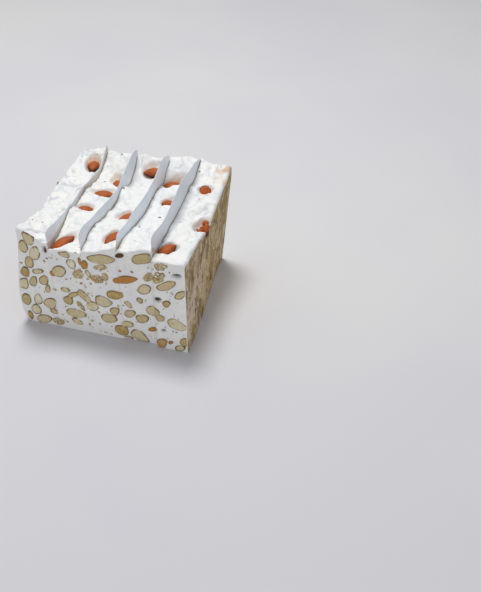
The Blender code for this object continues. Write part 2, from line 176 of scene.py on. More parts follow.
def slice_left(k, y, z):
    return left_side(y, z) if k == 0 else CUTS[k] + joint_gap(k, y)


def slice_right(k, y, z):
    return right_side(y, z) if k == LAST else CUTS[k + 1] - joint_gap(k, y)


def reach_of_almond(almond, x, y, rim):
    """0 over a whole almond's middle, and 1 at its outline with a rim round it."""
    ax, ay, heading, tilt, length, width, thickness, _ = almond
    turn, lean = math.radians(heading), math.radians(tilt)
    half = math.hypot(length / 2 * math.cos(lean), thickness / 2 * math.sin(lean))
    forward = (x - ax) * math.cos(turn) + (y - ay) * math.sin(turn)
    aside = (y - ay) * math.cos(turn) - (x - ax) * math.sin(turn)
    return math.hypot(forward / (half + rim), aside / (width / 2 + rim))


# How wide and deep the pit round each almond is, and how strongly it is tinted tan (partly stain, partly
# painted shade and reflected almond colour on the pit wall), from 0 to 1
PIT_SHARES = (1.0, 0.1, 0.1, 0.3, 0.6, 0.4, 0.3, 0.5, 0.9, 0.4, 0.3, 0.5, 0.8)
PIT_REACH, PIT_DEPTH, PIT_DEPTH_GAIN = 22.0, 3.4, 1.7


def pit(x, y):
    """(depth, tint) of the pits round the almonds. The tan tint is partly stain and partly painted shade and
    reflected almond colour on the pit walls.
    """
    depth = stain_and_pit_shade = 0.0
    for almond, share in zip(WHOLE_ALMONDS, PIT_SHARES):
        if abs(x - almond[0]) > PIT_REACH or abs(y - almond[1]) > PIT_REACH:
            continue
        rim = 0.2 + 1.3 * share + 0.8 * rough(x, y, 5.0, 6.0)
        reach = reach_of_almond(almond, x, y, rim)
        depth += (PIT_DEPTH + PIT_DEPTH_GAIN * share) * math.exp(-(reach**8))
        # Tan tint round each almond: partly stain, partly painted shade and reflected almond colour on the
        # pit wall
        stain_and_pit_shade = max(stain_and_pit_shade, (0.15 + 0.75 * share) * math.exp(-(reach**5)))
    return depth, stain_and_pit_shade


# Cells of the slices' meshes. A flat side in a joint has cells only in a border, deeper under the top.
CELL, TALL_CELL = 0.9, 0.95
BORDER_CELLS, TOP_BORDER_CELLS = 3, 18


def graded(length, cell):
    """Even steps of about one cell along a length, with finer ones at both ends, as shares of it."""
    ends = [0.0, 0.35, 0.8, 1.4]
    count = max(round((length - 2 * ends[-1]) / cell), 2)
    inner = [ends[-1] + (length - 2 * ends[-1]) * n / count for n in range(1, count)]
    return [v / length for v in (*ends, *inner, *(length - v for v in reversed(ends)))]


def shell_faces(counts, whole):
    """Faces round a box, as rings of cells. A side that isn't in whole is one flat face inside its border."""
    faces = []
    for axis in range(3):
        one, two = (axis + 1) % 3, (axis + 2) % 3
        for end in (0, counts[axis]):

            def cell(i, j):
                place = [0, 0, 0]
                place[axis], place[one], place[two] = end, i, j
                return tuple(place)

            low = (BORDER_CELLS, BORDER_CELLS)
            borders = [TOP_BORDER_CELLS if across == 2 else BORDER_CELLS for across in (one, two)]
            high = (counts[one] - borders[0], counts[two] - borders[1])
            flat = (axis, end > 0) not in whole
            flip = end == 0
            for i in range(counts[one]):
                for j in range(counts[two]):
                    if flat and low[0] <= i < high[0] and low[1] <= j < high[1]:
                        continue
                    ring = [cell(i, j), cell(i + 1, j), cell(i + 1, j + 1), cell(i, j + 1)]
                    faces.append(ring[::-1] if flip else ring)
            if flat:
                ring = [cell(i, low[1]) for i in range(low[0], high[0])]
                ring += [cell(high[0], j) for j in range(low[1], high[1])]
                ring += [cell(i, high[1]) for i in range(high[0], low[0], -1)]
                ring += [cell(low[0], j) for j in range(high[1], low[1], -1)]
                faces.append(ring[::-1] if flip else ring)
    return faces


# Cut nuts of the front: place across and up, length, width and lie, by how each one looks
FRONT_NUTS = {
    "flesh": (
        (-64.5, 96.0, 16.0, 11.0, -90), (-71.0, 86.0, 13.5, 9.0, 90), (-67.5, 70.0, 14.0, 8.5, 80),
        (-67.0, 49.0, 13.0, 7.0, 70), (-56.5, 52.0, 12.5, 8.5, 65), (-54.0, 43.0, 9.0, 5.0, 80),
        (-40.0, 66.0, 15.0, 11.0, 50), (-33.0, 86.5, 11.5, 8.0, -25), (-13.0, 69.0, 8.0, 4.5, -75),
        (1.5, 87.5, 26.0, 9.5, 10), (37.5, 94.5, 21.5, 10.5, 25), (58.0, 73.0, 20.5, 8.0, 35),
        (36.5, 61.5, 14.0, 9.5, 35), (70.0, 65.5, 13.0, 6.5, 45), (-36.5, 46.0, 9.0, 6.0, 5),
        (-19.5, 42.5, 17.0, 8.0, -50), (-2.0, 41.0, 16.5, 12.0, 0), (8.0, 32.0, 10.5, 8.5, 55),
        (-29.5, 21.0, 20.5, 10.5, 0), (-54.0, 26.0, 14.5, 11.5, 45), (-51.5, 17.5, 8.0, 6.5, -25),
        (-77.0, 26.0, 13.5, 9.5, 80), (-62.5, 6.0, 15.0, 10.0, 20), (2.0, 22.0, 15.0, 11.0, 10),
        (20.5, 41.0, 9.5, 5.0, -50), (31.5, 48.0, 6.5, 6.0, -70), (21.5, 31.0, 11.5, 8.5, 25),
        (32.5, 27.5, 13.0, 9.5, 30), (43.5, 40.0, 14.0, 10.5, 25), (50.5, 35.5, 9.5, 7.5, 25),
        (67.5, 4.0, 10.5, 7.0, 30),
    ),
    "pale": (
        (-61.0, 80.5, 15.5, 10.0, 75), (-61.0, 61.0, 12.0, 5.5, 20), (-76.5, 44.5, 14.0, 9.0, 70),
        (-27.5, 76.5, 11.0, 8.5, -75), (-12.5, 33.0, 12.5, 10.0, 15), (-29.5, 11.0, 11.0, 6.5, -25),
        (-65.5, 28.5, 13.0, 8.0, 80), (-69.0, 16.0, 12.0, 10.0, 85), (18.5, 18.0, 11.5, 7.5, 5),
        (65.0, 31.0, 18.0, 11.5, -15), (29.0, 6.0, 19.5, 11.5, -30),
    ),
    "toasted": (
        (-73.5, 58.0, 12.0, 8.5, 80), (-30.0, 42.0, 13.5, 5.0, 30), (-35.5, 34.5, 11.0, 9.0, 60),
        (9.5, 50.5, 14.5, 10.0, 5), (-76.0, 7.0, 10.5, 5.0, -85), (57.0, 53.0, 9.0, 6.5, 55),
        (12.5, 10.0, 13.5, 12.0, -55), (17.5, 1.0, 10.0, 5.5, 15), (50.5, 6.0, 13.0, 9.5, 50),
        (71.5, 12.5, 11.0, 8.0, 65),
    ),
    "skin": (
        (-47.0, 62.0, 6.0, 5.0, 85), (-19.5, 81.0, 8.0, 3.0, -90), (-15.5, 78.0, 10.0, 6.5, 85),
        (20.0, 68.5, 22.0, 8.5, 15), (42.0, 18.0, 10.5, 4.5, 35), (59.0, 9.0, 5.5, 3.5, 40),
    ),
    "dark": ((17.3, 93.8, 7.5, 5.0, 20), (-50.4, 85.5, 3.5, 2.4, 80), (49.0, 56.0, 4.5, 2.6, 15)),
    "broken": (
        (-22.0, 66.5, 11.5, 8.5, 30), (-1.0, 78.5, 12.5, 6.0, 15), (-5.0, 65.0, 13.5, 8.0, 10),
        (2.5, 69.0, 8.5, 5.5, 90), (54.0, 92.5, 12.5, 7.5, 25), (41.5, 76.5, 13.5, 7.0, 50),
        (51.0, 79.5, 16.0, 8.0, 50), (-24.0, 30.5, 11.5, 4.5, -60), (-48.5, 6.5, 11.5, 8.5, 0),
    ),
}
# Hollows where a nut fell out, in the same measures
FRONT_HOLLOWS = (
    (-51.0, 86.5, 6.5, 3.0, -85),
    (67.0, 85.0, 8.5, 4.0, 10),
    (49.0, 55.5, 7.0, 4.5, 15),
    (52.6, 21.1, 5.0, 3.0, 30),
)


def reach_of(nut, u, v):
    """0 at a cut nut's middle and 1 at its outline."""
    turn = math.radians(nut[4])
    du, dv = u - nut[0], v - nut[1]
    forward = du * math.cos(turn) + dv * math.sin(turn)
    aside = dv * math.cos(turn) - du * math.sin(turn)
    return math.hypot(forward / nut[2], aside / nut[3]) * 2


NUT_REACH, HOLLOW_REACH = 15.0, 8.0
GROOVE_DEPTH, GROOVE_WIDTH, HOLLOW_DEPTH = 0.3, 0.6, 3.0


def cut_relief(u, v, nuts, hollows):
    """How far a knife-cut face stands out: soft tears, a line sunk round each nut, and the hollows."""
    out = 0.2 * rough(u, v, 3.0, 6.0) + 0.1 * rough(u, v, 8.0, 1.8)
    for nut in nuts:
        if abs(u - nut[0]) < NUT_REACH and abs(v - nut[1]) < NUT_REACH:
            reach = reach_of(nut, u, v)
            past = (reach - 1) * nut[3] / 2
            out -= GROOVE_DEPTH * math.exp(-((past / GROOVE_WIDTH) ** 2))
            if reach < 1:
                out = min(out, 0.0)
    for hollow in hollows:
        if abs(u - hollow[0]) < HOLLOW_REACH and abs(v - hollow[1]) < HOLLOW_REACH:
            out -= HOLLOW_DEPTH * math.exp(-(reach_of(hollow, u, v) ** 4))
    return out


def skin_and_shade_in_hollow(u, v):
    """1 in the middle of a hollow in the front, where some skin stayed behind and painted shade darkens it.
    """
    return max(math.exp(-((reach_of(hollow, u, v) * 1.1) ** 4)) for hollow in FRONT_HOLLOWS)


def dragged_relief(y, z, nuts):
    """How far a trimmed long side stands out: the knife drew the nougat down it in upright ridges."""
    drift = 1.5 * rough(y, z, 2.0, 40.0)
    out = 0.55 * noise.noise(Vector(((y + drift) / 2.6, z / 26, 0.0)))
    out += 0.25 * noise.noise(Vector(((y + drift) / 1.1, z / 11, 4.0)))
    for nut in nuts:
        if abs(y - nut[0]) < NUT_REACH and abs(z - nut[1]) < NUT_REACH and reach_of(nut, y, z) < 1:
            out = min(out, 0.0)
    return out


# Rules for the cut nuts of the faces away from the front, as in the frame: seed, count, longest,
# shortest, narrowest and widest as shares of the length, lie and its spread in degrees
BACK_RULE = (23, 46, 20.0, 7.5, 0.50, 0.85, 15, 60)
LEFT_RULE = (37, 26, 19.0, 8.0, 0.40, 0.70, 84, 28)
RIGHT_RULE = (41, 26, 19.0, 8.0, 0.40, 0.70, 84, 28)
FACE_MARGIN, CREST_MARGIN, NUT_CLEARANCE = 0.8, 4.5, 0.9
LOWEST_NUT, SCATTER_TRIES = 3.5, 120


def spacing(one, two):
    """The clear distance between two cut nuts, each taken as a capsule of its length and width."""
    spines = []
    for u, v, length, width, lie in (one, two):
        turn = math.radians(lie)
        reach = max(length - width, 0.0) / 2 * Vector((math.cos(turn), math.sin(turn)))
        spines.append([Vector((u, v)) + reach * f for f in (-1, -0.5, 0, 0.5, 1)])
    nearest = min((p - q).length for p in spines[0] for q in spines[1])
    return nearest - (min(one[2:4]) + min(two[2:4])) / 2


def scatter(rule, low, high, bare):
    """Cut nuts on one face, the largest first and each clear of the others."""
    seed, count, longest, shortest, narrowest, widest, lie, spread = rule
    draw = random.Random(seed)
    nuts = []
    for n in range(count):
        length = longest + (shortest - longest) * n / (count - 1)
        for _ in range(SCATTER_TRIES):
            v = draw.uniform(LOWEST_NUT, SLAB_HEIGHT)
            u = draw.uniform(low(v) + FACE_MARGIN + 2, high(v) - FACE_MARGIN - 2)
            width = length * draw.uniform(narrowest, widest)
            nut = (u, v, length, width, lie + draw.uniform(-spread, spread))
            if v < bare(u) - CREST_MARGIN and all(spacing(nut, other) > NUT_CLEARANCE for other in nuts):
                nuts.append(nut)
                break
    return nuts


FRAME_PIT_DEPTH, FRAME_PIT_RIM = 5.0, 3.5


def pressed_top(k, x, y):
    """The top as the frame has it, which the cut nuts keep under and the papers rise from."""
    level = bare_top(k, x, y)
    for almond in WHOLE_ALMONDS:
        level -= FRAME_PIT_DEPTH * math.exp(-(reach_of_almond(almond, x, y, FRAME_PIT_RIM) ** 4))
    return level


BACK_Y = SLAB_DEPTH / 2
back_nuts = scatter(
    BACK_RULE,
    lambda z: left_side(BACK_Y, z),
    lambda z: right_side(BACK_Y, z),
    lambda x: pressed_top(slice_at(x), x, BACK_Y),
)
left_nuts = scatter(
    LEFT_RULE,
    lambda z: slice_front(0) + FACE_MARGIN,
    lambda z: slice_back(0) - FACE_MARGIN,
    lambda y: pressed_top(0, CUTS[0], y),
)
right_nuts = scatter(
    RIGHT_RULE,
    lambda z: slice_front(LAST) + FACE_MARGIN,
    lambda z: slice_back(LAST) - FACE_MARGIN,
    lambda y: pressed_top(LAST, CUTS[-1], y),
)
front_nuts = [nut for nuts in FRONT_NUTS.values() for nut in nuts]


CREASE_DEPTH, CREASE_WIDTH = 1.6, 0.09
# The stained corner at the back of the last slice: where it starts, and over how far it comes up
PATCH_X, PATCH_Y, PATCH_FADE_X, PATCH_FADE_Y, PATCH_STAIN = 58.0, 38.0, 9.0, 14.0, 0.7


def slice_top(k, x, y):
    """(level, tint, crease) of a slice's top with its small lumps, its pits and its creases. The tint is
    stain, with painted shade in the almonds' pits.
    """
    depth, stain_and_pit_shade = pit(x, y)
    level = bare_top(k, x, y) - depth
    calm = 1 - 0.6 * min(depth / 4, 1.0)
    fold = rough(x + 3 * rough(x, y, 9.0, 8.0), y, 12.0, 9.0)
    # The crease mask deepens each crease and also sets the blue grey painted shade along it
    crease = math.exp(-((fold / CREASE_WIDTH) ** 2)) * calm
    crease *= smooth(0.6 + rough(x, y, 20.0, 17.0)) * (1.0 if k == 0 else 0.5)
    level -= CREASE_DEPTH * crease
    for size, height in SMALL_LUMPS:
        level += height * rough(x, y, size + 3, size) * calm * (1.5 if k == 0 else 1.0)
    if k == LAST:
        patch = smooth((y - PATCH_Y) / PATCH_FADE_Y) * smooth((x - PATCH_X) / PATCH_FADE_X)
        stain_and_pit_shade = max(stain_and_pit_shade, PATCH_STAIN * patch * smooth(0.5 + rough(x, y, 1.0, 7.0)))
    return level, stain_and_pit_shade, crease


# How far the top's edges are rounded, the thin lip that the knife raised along the cut ends, and over
# how far a face's relief and smears come up from its edges
SIDE_ROUND, TRIMMED_ROUND, END_ROUND = 1.0, 2.6, 1.5
LIP_OUT, LIP_HEIGHT, LIP_REACH = 0.5, 2.4, 1.6
EDGE_FADE, TOP_FADE, FOOT_FADE, SMEARED_FADE = 1.2, 2.0, 1.5, 1.6


def shape_slice(k):
    """(points, faces, marks) of one slice. The tan tint near the almonds is stain with painted shade in their
    pits, outer is on a trimmed side, the hollows hold skin and painted shade, and painted shade lies along
    the creases."""
    width = SLICE_WIDTHS[k]
    across, deep, high = graded(width, CELL), graded(SLAB_DEPTH, CELL), graded(SLAB_HEIGHT, TALL_CELL)
    counts = [len(shares) - 1 for shares in (across, deep, high)]
    whole = {(1, False), (1, True), (2, True)}
    whole |= {(0, False)} if k == 0 else set()
    whole |= {(0, True)} if k == LAST else set()
    rings = shell_faces(counts, whole)
    levels, index, points, stain_and_pit_shade, outer, hollow_skin_and_shade, painted_crease_shade = {}, {}, [], [], [], [], []

    def column(i, j):
        """(top of this column of cells, tint of stain and painted pit shade, crease, distance to the slice's
        side, distance to its end)
        """
        if (i, j) not in levels:
            x = CUTS[k] + width * across[i]
            y = slice_front(k) + SLAB_DEPTH * deep[j]
            level, stain_and_shade_here, crease = slice_top(k, x, y)
            from_side = width * min(across[i], 1 - across[i])
            from_end = SLAB_DEPTH * min(deep[j], 1 - deep[j])
            side_round = TRIMMED_ROUND if by_trimmed_side(k, across[i]) else SIDE_ROUND
            side_round *= 1 + 0.35 * rough(x, y, 9.0, 7.0)
            end_round = END_ROUND * (1 + 0.4 * rough(x, y, 5.0, 8.0))
            over_side = max(0.0, 1 - from_side / side_round)
            over_end = max(0.0, 1 - from_end / end_round)
            corner = min(math.hypot(over_side, over_end), 1.0)
            drop = max(side_round * over_side, end_round * over_end) / max(corner, 1e-6)
            drop *= 1 - math.sqrt(1 - corner**2)
            levels[i, j] = level - drop, stain_and_shade_here, crease, from_side, from_end
        return levels[i, j]

    for cell in (cell for ring in rings for cell in ring):
        if cell in index:
            continue
        i, j, n = cell
        level, stain_and_shade_here, crease, from_side, from_end = column(i, j)
        y = slice_front(k) + SLAB_DEPTH * deep[j]
        z = level * high[n]
        left, right = slice_left(k, y, z), slice_right(k, y, z)
        x = left + (right - left) * across[i]
        from_front = y - slice_front(k)
        y += end_drift(k, x, slice_front) * math.exp(-from_front / 2)
        y += end_drift(k, x, slice_back) * math.exp((from_front - SLAB_DEPTH) / 2)
        if z < FOOT_ROUND:
            tuck = FOOT_ROUND - math.sqrt(FOOT_ROUND**2 - (FOOT_ROUND - z) ** 2)
            y += tuck * max(0.0, 1 - from_end / FOOT_REACH) * (1 if deep[j] < 0.5 else -1)
            if by_trimmed_side(k, across[i]):
                x += tuck * max(0.0, 1 - from_side / FOOT_REACH) * (1 if k == 0 else -1)
        under = level - z
        fade = smooth(under / TOP_FADE) * smooth(z / FOOT_FADE)
        end_fade, side_fade = fade * smooth(from_side / EDGE_FADE), fade * smooth(from_end / EDGE_FADE)
        if j == 0:
            y -= end_fade * cut_relief(x, z, front_nuts, FRONT_HOLLOWS)
        if j == counts[1]:
            y += end_fade * cut_relief(x, z, back_nuts, ())
        lip = LIP_OUT + 0.6 * rough(x, 0.0, k, 9.0)
        lip *= math.exp(-((under / LIP_HEIGHT) ** 2) - (from_end / LIP_REACH) ** 2)
        if under < 2.5 * LIP_HEIGHT and from_end < 2.5 * LIP_REACH:
            nuts = front_nuts if deep[j] < 0.5 else back_nuts
            lip *= smooth(2.5 * (min(reach_of(nut, x, z) for nut in nuts) - 1))
        y += lip if deep[j] > 0.5 else -lip
        trimmed = 0.0
        if k == 0 and i == 0:
            x -= side_fade * dragged_relief(y, z, left_nuts)
            trimmed = smooth(under / SMEARED_FADE)
        if k == LAST and i == counts[0]:
            x += side_fade * dragged_relief(y, z, right_nuts)
            trimmed = smooth(under / SMEARED_FADE)
        index[cell] = len(points)
        points.append(mm(x, y, z))
        stain_and_pit_shade.append(stain_and_shade_here if n == counts[2] else 0.0)
        outer.append(trimmed)
        hollow_skin_and_shade.append(skin_and_shade_in_hollow(x, z) if j == 0 else 0.0)
        painted_crease_shade.append(crease if n == counts[2] else 0.0)
    marks = {"stain_and_pit_shade": stain_and_pit_shade, "outer": outer, "hollow_skin_and_shade": hollow_skin_and_shade, "painted_crease_shade": painted_crease_shade}
    return points, [[index[cell] for cell in ring] for ring in rings], marks


def new_piece(name, points, faces, material, marks=None):
    """A smooth mesh object. marks holds one number for each point under each name."""
    mesh = bpy.data.meshes.new(name)
    mesh.from_pydata(points, [], faces)
    mesh.shade_smooth()
    for mark, values in (marks or {}).items():
        mesh.attributes.new(mark, "FLOAT", "POINT").data.foreach_set("value", values)
    mesh.materials.append(material)
    obj = bpy.data.objects.new(name, mesh)
    bpy.context.scene.collection.objects.link(obj)
    return obj


def linear(hex_colour):
    """A colour written as sRGB hex, as the linear colour that a shader takes."""
    shares = [int(hex_colour[n : n + 2], 16) / 255 for n in (0, 2, 4)]
    return (*(s / 12.92 if s <= 0.04045 else ((s + 0.055) / 1.055) ** 2.4 for s in shares), 1.0)


def add_node(tree, kind, inputs=None, **settings):
    """Adds a node. An input that is a socket is linked, and any other is set as the input's value."""
    node = tree.nodes.new(kind)
    for name, value in settings.items():
        setattr(node, name, value)
    for name, value in (inputs or {}).items():
        if isinstance(value, bpy.types.NodeSocket):
            tree.links.new(value, node.inputs[name])
        else:
            node.inputs[name].default_value = value
    return node


def new_material(name, roughness, ior):
    """(material, its tree, its shader)"""
    material = bpy.data.materials.new(name)
    material.use_nodes = True
    tree = material.node_tree
    shader = tree.nodes["Principled BSDF"]
    shader.inputs["Roughness"].default_value = roughness
    shader.inputs["IOR"].default_value = ior
    return material, tree, shader


def coat(tree, ground, colour, cover, strength=1.0):
    """A ground with a colour laid over it. Cover is a share, or the name of a mark on the mesh."""
    if isinstance(cover, str):
        cover = add_node(tree, "ShaderNodeAttribute", attribute_name=cover).outputs["Fac"]
    share = add_node(tree, "ShaderNodeMath", {0: cover, 1: strength}, operation="MULTIPLY", use_clamp=True)
    node = add_node(tree, "ShaderNodeMix", {0: share.outputs[0], 6: ground, 7: colour}, data_type="RGBA")
    return node.outputs[2]


def pattern(tree, size, stretch=(1, 1, 1), detail=3.0, low=0.3, high=0.7):
    """Noise whose lumps are size millimetres, as a share that runs from low to high of its values."""
    place = add_node(tree, "ShaderNodeTexCoord").outputs["Object"]
    scaled = add_node(tree, "ShaderNodeMapping", {"Vector": place, "Scale": stretch}).outputs[0]
    cloud = add_node(tree, "ShaderNodeTexNoise", {"Vector": scaled, "Scale": 1000 / size, "Detail": detail})
    spread = add_node(
        tree, "ShaderNodeMapRange", {"Value": cloud.outputs[0], "From Min": low, "From Max": high}
    )
    return spread.outputs[0]


def ramp(tree, axis, start, end):
    """A share that goes from 0 to 1 between two places along an axis, in millimetres."""
    place = add_node(tree, "ShaderNodeTexCoord").outputs["Object"]
    parts = add_node(tree, "ShaderNodeSeparateXYZ", {0: place}).outputs
    limits = {"Value": parts[axis], "From Min": start / 1000, "From Max": end / 1000}
    return add_node(tree, "ShaderNodeMapRange", limits).outputs[0]


def dress(tree, shader, colour, relief, depth):
    """Gives a shader its colour, and relief that is depth millimetres high."""
    bump = add_node(tree, "ShaderNodeBump", {"Height": relief, "Distance": depth / 1000, "Strength": 1.0})
    tree.links.new(colour, shader.inputs["Base Color"])
    tree.links.new(bump.outputs[0], shader.inputs["Normal"])


# Soft white nougat, whipped and set: matt and a little waxy, tinted tan round the almonds, partly stain and
# partly painted shade and reflected almond colour in their pits. Painted shade lies dark grey brown in the
# front's hollows, where some skin also stayed, and blue grey along the creases of the top.
# The trimmed sides are smeared with crushed almond that the knife dragged over them: tan, paler low
# down and in front, with pale smears, olive and brown patches, and crumbs.
nougat, tree, shader = new_material("whipped_nougat", 0.55, 1.45)
white = coat(tree, linear("F3F2ED"), linear("E8E9E9"), pattern(tree, 14.0))
white = coat(tree, white, linear("D9D3C4"), pattern(tree, 3.2, low=0.56, high=0.75), 0.35)
tan_stain_and_shade = coat(tree, linear("D9A566"), linear("B98248"), pattern(tree, 4.0))
# Painted shade and reflected almond colour in the pits, laid in with the real stain as one tan tint
white = coat(tree, white, tan_stain_and_shade, "stain_and_pit_shade", pattern(tree, 5.0, low=0.2, high=0.55))
# Painted shade in the front's hollows: dark grey brown in their middles, with some skin left in them
white = coat(tree, white, linear("57504A"), "hollow_skin_and_shade", 0.9)
# Painted shade: blue grey along the creases of the top, so its relief shows where the light washes the white
# out
white = coat(tree, white, linear("BCC6CC"), "painted_crease_shade", 0.75)
crushed = coat(tree, linear("AA8532"), linear("BC9A54"), pattern(tree, 9.0, (1, 1, 0.5)))
crushed = coat(tree, crushed, linear("D2BA8A"), ramp(tree, 2, 90, 30), 0.5)
crushed = coat(tree, crushed, linear("D2C2AA"), ramp(tree, 1, 10, -50), 0.75)
# What is smeared on the trimmed sides: colour, strength, lump size in millimetres, stretch, detail, and
# the values of the noise where it starts and is full
SMEARED = (
    ("DACDB6", 0.5, 10.0, (1, 0.9, 0.7), 3.0, 0.5, 0.62),
    ("8A6A14", 0.75, 14.0, (1, 0.7, 0.6), 8.0, 0.47, 0.56),
    ("64460A", 0.75, 9.0, (1, 0.9, 0.5), 8.0, 0.55, 0.61),
    ("80581A", 0.5, 2.4, (1, 1, 0.6), 2.0, 0.58, 0.66),
    ("E2D6BE", 0.6, 3.0, (1, 1, 0.7), 2.0, 0.6, 0.68),
)
for colour, strength, *lumps in SMEARED:
    crushed = coat(tree, crushed, linear(colour), pattern(tree, *lumps), strength)
dress(tree, shader, coat(tree, white, crushed, "outer"), pattern(tree, 0.9, detail=4.0), 0.12)
shader.inputs["Subsurface Weight"].default_value = 0.1
shader.inputs["Subsurface Radius"].default_value = (1.0, 0.9, 0.8)
shader.inputs["Subsurface Scale"].default_value = 0.003

for k in range(SLICE_COUNT):
    points, faces, marks = shape_slice(k)
    piece = new_piece(f"nougat_slice_{k + 1}", points, faces, nougat, marks)
    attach(piece, "root")
    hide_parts(f"slice_{k + 1}")

# The cut almonds
# Where the knife went through, each almond in its way shows as a pale slice with a thin brown rim of skin.
# They stand a hair above the softer nougat. Some broke in the cooking and show as a cluster of chips.
KIND_ODDS = {"flesh": 9, "pale": 5, "toasted": 4, "skin": 2, "broken": 3}
TOAST = {
    "flesh": 0.5, "pale": 0.2, "toasted": 0.9, "smeared": 1.0, "skin": 2.2, "broken": 0.6, "dark": 3.4,
}
# Rings of a cut nut: 1 less the way in from its outline, the height over the face, both in
# millimetres, and how much of it is skin
NUT_RINGS = (
    (1.0, -0.5, 1.0), (1.0, 0.02, 1.0), (0.45, 0.16, 1.0),
    (0.0, 0.26, 0.5), (-0.7, 0.32, 0.0), (-2.2, 0.34, 0.0),
)
NUT_MIDDLE, NUT_AT_CUT, NUT_MARGIN, JOINT_TOUCH, BED_SUNK = 0.34, 0.32, 0.7, 0.08, 0.36
LARGE_NUT, CHIP_COUNT, CHIP_OVERLAP, CRUMB_TOP = 5.0, 11, 0.9, 90.0


def inside_part(outline, inside):
    """The part of an outline where inside(point) holds. The places where it crosses are halved to."""
    kept = []
    for n, end in enumerate(outline):
        start = outline[n - 1]
        if inside(start) != inside(end):
            near, far = (start, end) if inside(start) else (end, start)
            for _ in range(8):
                middle = (near + far) / 2
                near, far = (middle, far) if inside(middle) else (near, middle)
            kept.append(near)
        if inside(end):
            kept.append(end)
    return [point for n, point in enumerate(kept) if (point - kept[n - 1]).length > 0.05]


def kernel_outline(nut, corners, raggedness):
    """Points round a cut almond: blunt at one end, narrower at the other, and never quite even."""
    u, v, length, width, lie = nut
    turn = math.radians(lie)
    points = []
    for n in range(corners):
        a = 2 * math.pi * n / corners
        size = 1 + raggedness * rough(math.cos(a) + u, math.sin(a) + v, length, 0.8)
        forward = length / 2 * math.cos(a) * size
        aside = width / 2 * math.sin(a) * size * (1 - 0.16 * math.cos(a))
        points.append(Vector((
            u + forward * math.cos(turn) - aside * math.sin(turn),
            v + forward * math.sin(turn) + aside * math.cos(turn),
        )))
    return points


def chips_of(nut, draw):
    """The chips that a broken almond left, as small nuts inside its outline."""
    u, v, length, width, lie = nut
    turn = math.radians(lie)
    chips = []
    for _ in range(140):
        reach, a = math.sqrt(draw.random()) * 0.8, draw.uniform(0, 2 * math.pi)
        forward, aside = length / 2 * reach * math.cos(a), width / 2 * reach * math.sin(a)
        size = draw.uniform(0.24, 0.42) * length
        chip = (
            u + forward * math.cos(turn) - aside * math.sin(turn),
            v + forward * math.sin(turn) + aside * math.cos(turn),
            size,
            size * draw.uniform(0.5, 0.85),
            draw.uniform(0, 180),
        )
        if len(chips) < CHIP_COUNT and all(spacing(chip, other) > -CHIP_OVERLAP for other in chips):
            chips.append(chip)
    return chips


def crumbs_among(nuts, low, high, seed, count):
    """Chips of 1 to 4 mm between the larger nuts of a face."""
    draw = random.Random(seed)
    chips = []
    for _ in range(count):
        size = 1.2 + 2.8 * draw.random() ** 2
        v = draw.uniform(2.5, SLAB_HEIGHT)
        u = draw.uniform(low + 1, high - 1)
        chip = (u, v, size, size * draw.uniform(0.4, 0.9), draw.uniform(0, 180))
        if v < CRUMB_TOP and all(spacing(chip, other) > 0.5 for other in (*nuts, *chips)):
            chips.append(chip)
    return chips


def cut_nut_shell(nut, field, toast, skinned, on_face, shell, lift=0.0):
    """Adds one cut nut to a shell, which is (points, faces, toast, skin, blush)."""
    low, high, crest = field
    points, faces, toasts, skins, blushes = shell
    blush = 0.5 + 0.5 * math.sin(13 * nut[0] + 7 * nut[1])

    def on_the_face(point):
        u, v = point
        return NUT_MARGIN < v < crest(u) - NUT_MARGIN and low(v) < u < high(v)

    corners, raggedness = (30, 0.16) if nut[2] > LARGE_NUT else (12, 0.45)
    outline = inside_part(kernel_outline(nut, corners, raggedness), on_the_face)
    if len(outline) < 6:
        return
    middle = sum(outline, Vector((0, 0))) / len(outline)
    girth = sum((point - middle).length for point in outline) / len(outline)
    start = len(points)
    for inset, out, skin in NUT_RINGS:
        share = max(1 - (1 - inset) * min(1.0, girth / 3) / girth, 0.12)
        for point in outline:
            place = middle.lerp(point, share)
            at_cut = min(point.x - low(point.y), high(point.y) - point.x) < JOINT_TOUCH
            at_rim = lift == 0 and reach_of(nut, *point) > 0.8 and not at_cut
            level = out if at_rim or out < 0 else NUT_AT_CUT
            grain = 0.05 * rough(place.x, place.y, 7.0, 1.3) if skin < 1 else 0.0
            points.append(on_face(*place, level * min(1.0, girth / 3) + grain + lift))
            toasts.append(toast)
            skins.append(1.0 if skinned else skin * at_rim)
            blushes.append(blush)
    count = len(outline)
    for ring in range(len(NUT_RINGS) - 1):
        for n in range(count):
            a, b = start + ring * count + n, start + ring * count + (n + 1) % count
            faces.append([a, b, b + count, a + count])
    points.append(on_face(*middle, NUT_MIDDLE * min(1.0, girth / 3) + lift))
    toasts.append(toast)
    skins.append(1.0 if skinned else 0.0)
    blushes.append(blush)
    last = start + (len(NUT_RINGS) - 1) * count
    for n in range(count):
        faces.append([last + n, last + (n + 1) % count, len(points) - 1])
    faces.append([start + n for n in reversed(range(count))])


def kinds_of(nuts, seed):
    """Each nut of a face that follows a rule, with the way it looks."""
    draw = random.Random(seed)
    kinds, odds = list(KIND_ODDS), list(KIND_ODDS.values())
    return [(nut, draw.choices(kinds, odds)[0]) for nut in nuts]


def end_field(k, y):
    """(low, high, crest) of a slice's cut end."""
    return (
        lambda z: CUTS[k] + 0.01 if k else slice_left(k, y, z) + FACE_MARGIN,
        lambda z: CUTS[k + 1] - 0.01 if k < LAST else slice_right(k, y, z) - FACE_MARGIN,
        lambda x: pressed_top(k, x, y),
    )


def side_field(k, x):
    return (
        lambda z: slice_front(k) + 2 * FACE_MARGIN,
        lambda z: slice_back(k) - 2 * FACE_MARGIN,
        lambda y: pressed_top(k, x, y),
    )


